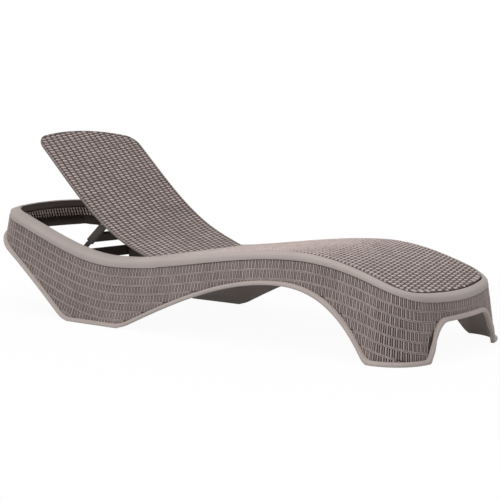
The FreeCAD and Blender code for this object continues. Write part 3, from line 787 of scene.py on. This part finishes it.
    def marks(self, ring, weave):
        """Distances along the loop of a row's raised uprights, which close up towards the toes."""
        marks = [0.0]
        while marks[-1] < ring.length:
            toeward = ring.at(marks[-1])[0].x / Perimeter.TOE_CORNER.x
            closing = weave.toe_closing * min(1.0, max(0.0, toeward))
            marks.append(marks[-1] + weave.column_pitch * (1.0 - closing))
        return np.array(marks) * ring.length / marks[-1]

    def keep(self, piece):
        """Puts a piece on the base."""
        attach(piece, "base")

    def meet(self, shape, distance, height, cast=cast_in):
        """The point, the normal and the panel where a ray meets the skirt, or none."""
        start, out = shape.ring.at(distance)
        depth, normal = cast(shape.tree, start, out, height)
        if depth is None:
            return None
        return spot(start, out, depth, height), normal, self.owner(start, out)

    def upright(self, shape, weave, strands, distance, row, rise, width):
        """One upright strand, raised or sunk, cut short where it meets the bead."""
        top = shape.ring.value(shape.high, distance) - row * weave.row_height
        floor = shape.ring.value(shape.bead_top, distance)
        bottom = max(top - weave.row_height, floor)
        if top - bottom < self.SHORTEST * weave.row_height:
            return
        start, out = shape.ring.at(distance)
        headward = (Perimeter.TOE_CORNER.x - start.x) / (Perimeter.TOE_CORNER - Perimeter.HEAD_CORNER).x
        lean = -out.y * weave.strand_lean * headward * (top - bottom) / 2
        foot = self.meet(shape, distance - lean, bottom + self.UPRIGHT_FOOT)
        middle = self.meet(shape, distance, (bottom + top) / 2)
        head = self.meet(shape, distance + lean, top - self.UPRIGHT_TOP)
        if foot and middle and head:
            along = head[0] - foot[0]
            place, normal, owner = middle
            # Sunk uprights get the darker range, as painted shade.
            tone = RAISED_TONE if rise == 1.0 else SUNK_SHADED_TONE
            stretch = (along.length, width * (1.0 + rise) / 2, rise)
            strands[owner].add(place, along, normal, stretch, tone)

    def binder(self, shape, weave, strands, distance, row, pitch):
        """A pair of thin strands over the joint between two rows."""
        for side in (-1.0, 1.0):
            ends = []
            for share in (-0.5, 0.5):
                there = distance + share * pitch
                height = shape.ring.value(shape.high, there) - row * weave.row_height
                height += side * self.BINDER_APART * weave.binder_width
                met = self.meet(shape, there, height)
                if not met or height < shape.ring.value(shape.bead_top, there) + weave.binder_width:
                    return
                place, normal, owner = met
                ends.append(place)
            strands[owner].between(*ends, normal, self.BINDER_LAP)

    def inner_weave(self, shape, weave, pattern):
        """The strands that show inside the head end, between its lip and the rim."""
        strands = Strands()
        count = round(shape.ring.length / weave.column_pitch)
        pitch = shape.ring.length / count
        for column in range(count):
            for row in range(self.INNER_ROWS):
                distance = (column + 0.5 * (row % 2)) * pitch
                start, out = shape.ring.at(distance)
                if start.x > Perimeter.HEAD_CORNER.x + self.INNER_FROM or out.x > -self.INNER_FACING:
                    continue
                low = shape.ring.value(shape.low, distance) + weave.lip_height
                high = shape.ring.value(shape.high, distance) - self.INNER_TOP
                part = (high - low) / self.INNER_ROWS
                lean = self.INNER_LEAN * pitch / 2
                bottom = low + row * part + self.INNER_GAP / 2
                foot = self.meet(shape, distance - lean, bottom, cast_out)
                head = self.meet(shape, distance + lean, bottom + part - self.INNER_GAP, cast_out)
                if foot and head:
                    # The inner strands take the painted light range.
                    strands.between(foot[0], head[0], head[1], tone=INNER_LIT_TONE)
        width = self.INNER_WIDTH * weave.strand_width
        self.keep(strands.mesh("head_inner_strands", pattern, width, weave.strand_relief))


class LOUNGER_OT_rim(bpy.types.Operator):
    """Builds the smooth rim with its top falling away to the outside"""

    bl_idname = "lounger.rim"
    bl_label = "Rim"

    STEP = 0.005
    TOP_POINTS = 8
    FACE_STRIPS = 3
    INNER_STRIPS = 4
    LOWEST = 0.15
    HIGHEST = 0.47
    CLEAR = 1.0
    MARCH = 0.004
    ROUND = 0.004
    LEDGE = 0.012
    LEDGE_WIDTH = 0.014
    OUTER_BAND = 0.02
    FACE_BAND = 0.004
    FACE_FOOT = 0.002
    FACE_HEAD = 0.006
    BULGE = (0.5, 0.74)
    HEAD_FROM = -0.74
    HEAD_REACH = 0.08
    HEAD_THIN = 0.85
    HEAD_LIFT = 0.004

    def execute(self, context):
        slant = context.scene.lounger_weave.rim_slant
        make = partial(self.section, surface_of(["top_rim"]), slant)
        sections = sections_round(self.STEP, make)
        # The inner wall, ledge and underside take the dark finish.
        slots = [0] * (self.TOP_POINTS + self.FACE_STRIPS) + [1] * self.INNER_STRIPS
        piece = sweep("rim_skin", sections, True, [finish("rim_resin"), finish("dark_resin")], slots)
        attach(piece, "base")
        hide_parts("top_rim")
        return {"FINISHED"}

    def section(self, tree, slant, start, out):
        """A closed section at one place: outer face, slanting top, inner wall, ledge."""
        heights = np.arange(self.LOWEST, self.HIGHEST, self.MARCH)
        outer = max(cast_in(tree, start, out, height)[0] or 0.0 for height in heights)
        solid = beyond(tree, start, out, outer - self.OUTER_BAND)
        on_face = beyond(tree, start, out, outer - self.FACE_BAND)
        hits = [height for height in heights if solid(height)]
        if len(hits) < 2:
            return None
        first = next(height for height in heights if on_face(height))
        low = settle(on_face, first, first - self.MARCH)
        high = settle(solid, hits[-1], hits[-1] + self.MARCH)
        outer_low = cast_in(tree, start, out, low + self.FACE_FOOT)[0]
        outer_high = cast_in(tree, start, out, high - self.FACE_HEAD)[0]
        depths = [cast_out(tree, start, out, h)[0] for h in heights]
        inner = min(depth for depth in depths if depth is not None) + self.LEDGE_WIDTH
        inner_low, inner_high = self.span(tree, start, out, inner + self.ROUND)
        shoulder = high - slant * (high - low)
        crest = np.array((inner + self.ROUND, inner_high))
        edge = np.array((outer_high, shoulder))
        bulge = edge + (crest - edge) * self.BULGE
        outline = [
            (outer_low - self.ROUND / 2, low), (outer_low, low + self.ROUND / 2),
            (outer_high, shoulder - self.ROUND)]
        for step in range(self.TOP_POINTS):
            share = step / (self.TOP_POINTS - 1)
            outline.append(
                (1 - share) ** 2 * edge + 2 * share * (1 - share) * bulge + share ** 2 * crest)
        head = min(1.0, max(0.0, (self.HEAD_FROM - start[0]) / self.HEAD_REACH))
        ledge = self.LEDGE_WIDTH * (1.0 - self.HEAD_THIN * head)
        inner_low += self.HEAD_LIFT * head
        wall = [(inner, inner_high - self.ROUND), (inner, inner_low + self.LEDGE)]
        foot = [(inner - ledge, inner_low + self.LEDGE), (inner - ledge, inner_low)]
        return stand(start, out, outline + wall + foot)

    def span(self, tree, start, out, depth):
        """The bottom and the top of the rim at one distance out."""
        top = tree.ray_cast(spot(start, out, depth, self.CLEAR), -UP)[0]
        bottom = tree.ray_cast(spot(start, out, depth, -self.CLEAR), UP)[0]
        return bottom.z, top.z


class WovenDeck:
    """A plain weave over the top of a slab that is laid about level, and an edging round it."""

    DROP = 1.2
    STEEPEST = 0.5
    EDGE_SIDES = 8
    EDGE_STEP = 0.006
    EDGE_MARCH = 0.004
    EDGE_THICKNESS = 0.008
    EDGE_SQUARE = 0.6
    EDGE_LIFT = 0.7
    EDGE_IN = 0.0015
    EDGE_OUT = 0.0002
    OVERLAP = 0.76
    BEARING = 0.5
    SHORTEST = 0.15
    TOE_MARGIN = 0.55
    TOE_SPARE = 0.85
    SHARES = np.linspace(-1.0, 1.0, 33)

    def __init__(self, name, weave, back=None):
        self.name = name
        self.weave = weave
        self.back = back
        undo = back.inverted() if back else Matrix.Identity(4)
        self.tree = surface_of([name], undo)
        mesh = frame["nodes"][name].data
        corners = np.array([(undo @ vert.co)[:] for vert in mesh.vertices])
        self.least = corners.min(axis=0)
        self.most = corners.max(axis=0)

    def top(self, x, y):
        """The slab's top at a place, and its normal."""
        hit, normal, _, _ = self.tree.ray_cast(Vector((x, y, self.DROP)), -UP)
        return hit, normal

    def rows(self):
        """Places along the slab, a pitch apart along its curved top."""
        x = self.least[0] + self.weave.deck_pitch
        places = []
        while x < self.most[0]:
            hit, normal = self.top(x, 0.0)
            if hit is None:
                break
            places.append(x)
            x += self.weave.deck_pitch * max(normal.z, self.STEEPEST)
        return places

    def cover(self, x, middle):
        """The two ends of a strand over a column, drawn in to where the slab is."""
        far = self.weave.deck_column * self.OVERLAP / 2
        places = [y for y in middle + far * self.SHARES if self.inside(x, y)]
        return (places[0], places[-1]) if places else (middle, middle)

    def inside(self, x, y):
        """Whether the slab lies under enough of a strand's width at a place."""
        half = self.weave.deck_width * self.BEARING / 2
        return all(self.top(x + way * half, y)[0] is not None for way in (-1, 0, 1))

    def strands(self):
        """Strands across the slab, each going over every second column by turns."""
        strands = Strands()
        last = {}
        wide = self.weave.deck_column
        half = math.ceil(self.most[1] / wide)
        for row, x in enumerate(self.rows()):
            for column in range(-half, half + 1):
                middle = column * wide
                right, left = self.cover(x, middle)
                if (row + column) % 2 or left - right < self.SHORTEST * wide:
                    continue
                if self.lay(strands, x, left, right):
                    last[column] = x
        if not self.back:
            self.fill_toe(strands, last)
        return strands

    def lay(self, strands, x, left, right):
        """Lays one strand across the slab, if the slab is there."""
        hit, normal = self.top(x, (left + right) / 2)
        if hit is None:
            return False
        # The decks' strands get lighter ranges, as painted light and painted highlights.
        tone = BACK_LIT_TONE if self.back else DECK_LIT_TONE
        strands.add(hit, Vector((0, 1, 0)), normal, (left - right, 1.0, 1.0), tone)
        return True

    def fill_toe(self, strands, last):
        """One more strand on each column that ends well short of the slab's toe edge."""
        for column, x in last.items():
            middle = column * self.weave.deck_column

            def solid(place):
                return self.top(place, middle)[0] is not None

            edge = settle(solid, x, self.most[0] + self.weave.deck_pitch)
            place = edge - self.TOE_MARGIN * self.weave.deck_width
            right, left = self.cover(place, middle)
            if place - x > self.TOE_SPARE * self.weave.deck_pitch and left > right:
                self.lay(strands, place, left, right)

    def weave_mesh(self, pattern):
        """The woven top as one mesh."""
        width, relief = self.weave.deck_width, self.weave.deck_relief
        return self.strands().mesh(f"{self.name}_weave", pattern, width, relief)

    def edging(self, limit):
        """A rounded band round the slab's edge, headward of a limit along the lounger."""
        sections = sections_round(self.EDGE_STEP, partial(self.edge_section, limit))
        # The edging's dark finish is painted shade along the edge.
        slots = [0] * self.EDGE_SIDES
        return sweep(f"{self.name}_edging", sections, False, [finish("edge_resin")], slots)

    def edge_section(self, limit, start, out):
        """The band's closed section at one place, or none past the limit."""
        solid = beyond(self.tree, start, out, 0.0)
        heights = np.arange(self.most[2], self.least[2], -self.EDGE_MARCH)
        first = next((height for height in heights if solid(height)), None)
        if first is None:
            return None
        top = settle(solid, first, first + self.EDGE_MARCH)
        depth = cast_in(self.tree, start, out, top - self.EDGE_IN)[0]
        if start[0] + out[0] * depth > limit:
            return None
        width, thickness = self.weave.edging_width, self.EDGE_THICKNESS
        lift = self.weave.deck_relief * self.EDGE_LIFT
        outline = []
        for step in range(self.EDGE_SIDES):
            across, rise = squarish(2 * math.pi * (step + 0.5) / self.EDGE_SIDES, self.EDGE_SQUARE)
            outline.append((depth - width / 2 + self.EDGE_OUT + across * width / 2,
                            top + lift - thickness / 2 + rise * thickness / 2))
        return stand(start, out, outline)


class LOUNGER_OT_decks(bpy.types.Operator):
    """Weaves the seat deck and the backrest"""

    bl_idname = "lounger.decks"
    bl_label = "Seat and backrest"

    STRAND_ENDS = (0.12, 0.3)
    HINGE_GAP = 0.016

    def execute(self, context):
        weave = context.scene.lounger_weave
        pattern = strand_shape("deck_strand", *self.STRAND_ENDS)
        hinge, angle = hinge_place()
        turn = Matrix.Translation(hinge) @ Matrix.Rotation(angle, 4, "Y") @ Matrix.Translation(-hinge)
        for name, body, back in (("seat_deck", "base", None), ("backrest_panel", "backrest", turn)):
            deck = WovenDeck(name, weave, back)
            pieces = [deck.weave_mesh(pattern)]
            if back:
                pieces.append(deck.edging(hinge.x - self.HINGE_GAP))
            for piece in pieces:
                if back:
                    piece.data.transform(back)
                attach(piece, body)
        discard(pattern)
        return {"FINISHED"}


class LOUNGER_OT_hardware(bpy.types.Operator):
    """Gives every piece that shows as it was built its finish"""

    bl_idname = "lounger.hardware"
    bl_label = "Finishes of the plain pieces"

    NAMED = {
        # The slabs under the deck strands take the painted shade of the deck gaps.
        "seat_deck": "deck_gap_resin",
        "backrest_panel": "deck_gap_resin",
        "waist_bar": "rim_resin",
        "left_stay_leg": "stay_resin",
        "right_stay_leg": "stay_resin",
    }

    def execute(self, context):
        for name, node in frame["nodes"].items():
            # The rest take the dark resin, which under the backrest is painted shade.
            label = self.NAMED.get(name, "pin_steel" if name.endswith("_pin") else "dark_resin")
            node.data.materials.clear()
            node.data.materials.append(finish(label))
        return {"FINISHED"}


def combined(nodes, links, operation, first, second):
    """The socket that gives what two sockets come to together."""
    node = nodes.new("ShaderNodeMath")
    node.operation = operation
    links.new(first, node.inputs[0])
    links.new(second, node.inputs[1])
    return node.outputs["Value"]


def seen_ray(nodes, links):
    """A socket that is 1 for rays that show the backdrop: seen straight, mirrored or through glass."""
    path = nodes.new("ShaderNodeLightPath").outputs
    direct = combined(nodes, links, "MAXIMUM", path["Is Camera Ray"], path["Is Glossy Ray"])
    return combined(nodes, links, "MAXIMUM", direct, path["Is Transmission Ray"])


def mix_shaders(nodes, links, share, first, second, output):
    """Sends a mix of two shaders to an output."""
    mix = nodes.new("ShaderNodeMixShader")
    links.new(share, mix.inputs["Fac"])
    links.new(first, mix.inputs[1])
    links.new(second, mix.inputs[2])
    links.new(mix.outputs["Shader"], nodes[output].inputs["Surface"])


class LOUNGER_OT_stage(bpy.types.Operator):
    """Sets the pale floor, the soft light and the camera"""

    bl_idname = "lounger.stage"
    bl_label = "Stage"

    FLOOR_HALF = 12.0
    FLOOR_LOOK = {"Base Color": (0.86, 0.86, 0.86, 1.0), "Roughness": 0.9}
    FLOOR_FADE = {"From Min": 0.9, "From Max": 1.9, "To Min": 0.95}
    WHITE = (1.0, 1.0, 1.0, 1.0)
    # Each lamp's place and size
    LAMPS = {"key": ((0.6, -1.2, 3.3), 3.0), "fill": ((-0.2, -3.5, 1.5), 2.0)}
    LAMP_AIM = Vector((0.0, 0.0, 0.2))
    SENSOR = 36.0

    def execute(self, context):
        stage = context.scene.lounger_stage
        self.floor()
        self.world(stage)
        for name, (place, size) in self.LAMPS.items():
            self.lamp(name, getattr(stage, name), place, size)
        self.camera(stage)
        context.scene.view_settings.view_transform = "Standard"
        return {"FINISHED"}

    def floor(self):
        """A pale floor that shows shadows near the lounger and fades to white away from it."""
        half = self.FLOOR_HALF
        verts = [(-half, -half, 0.0), (half, -half, 0.0), (half, half, 0.0), (-half, half, 0.0)]
        floor = mesh_object("floor", verts, [(0, 1, 2, 3)])
        material = bpy.data.materials.new("pale_floor")
        nodes, links = node_space(material)
        shader = with_inputs(nodes["Principled BSDF"], self.FLOOR_LOOK)
        place = nodes.new("ShaderNodeTexCoord")
        reach = nodes.new("ShaderNodeVectorMath")
        reach.operation = "LENGTH"
        fade = with_inputs(nodes.new("ShaderNodeMapRange"), self.FLOOR_FADE)
        fade.interpolation_type = "SMOOTHSTEP"
        wire(links, (place, "Object", reach, 0), (reach, "Value", fade, "Value"))
        share = combined(nodes, links, "MULTIPLY", seen_ray(nodes, links), fade.outputs["Result"])
        glow = with_inputs(nodes.new("ShaderNodeEmission"), {"Strength": 1.0}).outputs["Emission"]
        mix_shaders(nodes, links, share, shader.outputs["BSDF"], glow, "Material Output")
        floor.data.materials.append(material)
        floor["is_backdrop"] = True

    def world(self, stage):
        """Soft light from all round, before a white backdrop."""
        world = bpy.data.worlds.new("soft_sky")
        bpy.context.scene.world = world
        nodes, links = node_space(world)
        sky = with_inputs(nodes["Background"], {"Color": self.WHITE, "Strength": stage.sky})
        paper = with_inputs(nodes.new("ShaderNodeBackground"), {"Color": self.WHITE, "Strength": 1.0})
        lights = [node.outputs["Background"] for node in (sky, paper)]
        mix_shaders(nodes, links, seen_ray(nodes, links), *lights, "World Output")

    def lamp(self, name, power, place, size):
        """A square lamp that faces the lounger."""
        light = bpy.data.lights.new(name, "AREA")
        light.energy = power
        light.size = size
        lamp = add_object(name, light)
        lamp.location = place
        aim = self.LAMP_AIM - Vector(place)
        lamp.rotation_euler = aim.to_track_quat("-Z", "Y").to_euler()

    def camera(self, stage):
        """The camera of the photo."""
        lens = bpy.data.cameras.new("photo_camera")
        lens.sensor_width = self.SENSOR
        lens.lens = stage.lens
        camera = add_object("photo_camera", lens)
        camera.location = stage.camera_place
        level = math.cos(stage.camera_fall)
        view = Vector((-math.sin(stage.camera_turn) * level, math.cos(stage.camera_turn) * level,
                       -math.sin(stage.camera_fall)))
        roll = Quaternion((0.0, 0.0, 1.0), stage.camera_roll)
        camera.rotation_euler = (view.to_track_quat("-Z", "Y") @ roll).to_euler()
        bpy.context.scene.camera = camera


class LOUNGER_PT_sidebar(bpy.types.Panel):
    """Lists the lounger's operators and sizes"""

    bl_idname = "LOUNGER_PT_sidebar"
    bl_label = "Lounger"
    bl_space_type = "VIEW_3D"
    bl_region_type = "UI"
    bl_category = "Lounger"

    def draw(self, context):
        layout = self.layout
        for operator in OPERATORS:
            layout.operator(operator.bl_idname)
        for name in GROUPS:
            group = getattr(context.scene, name)
            box = layout.box()
            for key in group.bl_rna.properties.keys():
                if key not in ("rna_type", "name"):
                    box.prop(group, key)


OPERATORS = (
    LOUNGER_OT_hardware, LOUNGER_OT_skirt, LOUNGER_OT_rim, LOUNGER_OT_decks, LOUNGER_OT_stage,
)
GROUPS = {
    "lounger_weave": LoungerWeave,
    "lounger_colours": LoungerColours,
    "lounger_stage": LoungerStage,
}


def register():
    for name, group in GROUPS.items():
        bpy.utils.register_class(group)
        setattr(bpy.types.Scene, name, bpy.props.PointerProperty(type=group))
    for item in OPERATORS + (LOUNGER_PT_sidebar,):
        bpy.utils.register_class(item)


def unregister():
    for item in reversed(OPERATORS + (LOUNGER_PT_sidebar,)):
        bpy.utils.unregister_class(item)
    for name, group in GROUPS.items():
        delattr(bpy.types.Scene, name)
        bpy.utils.unregister_class(group)


def main():
    register()
    bpy.ops.lounger.hardware()
    bpy.ops.lounger.skirt()
    bpy.ops.lounger.rim()
    bpy.ops.lounger.decks()
    bpy.ops.lounger.stage()
    boxes = {"cad": CAD_BOX, "visual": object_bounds()}
    plain = {name: [[float(v) for v in corner] for corner in box] for name, box in boxes.items()}


if __name__ == "__main__":
    main()
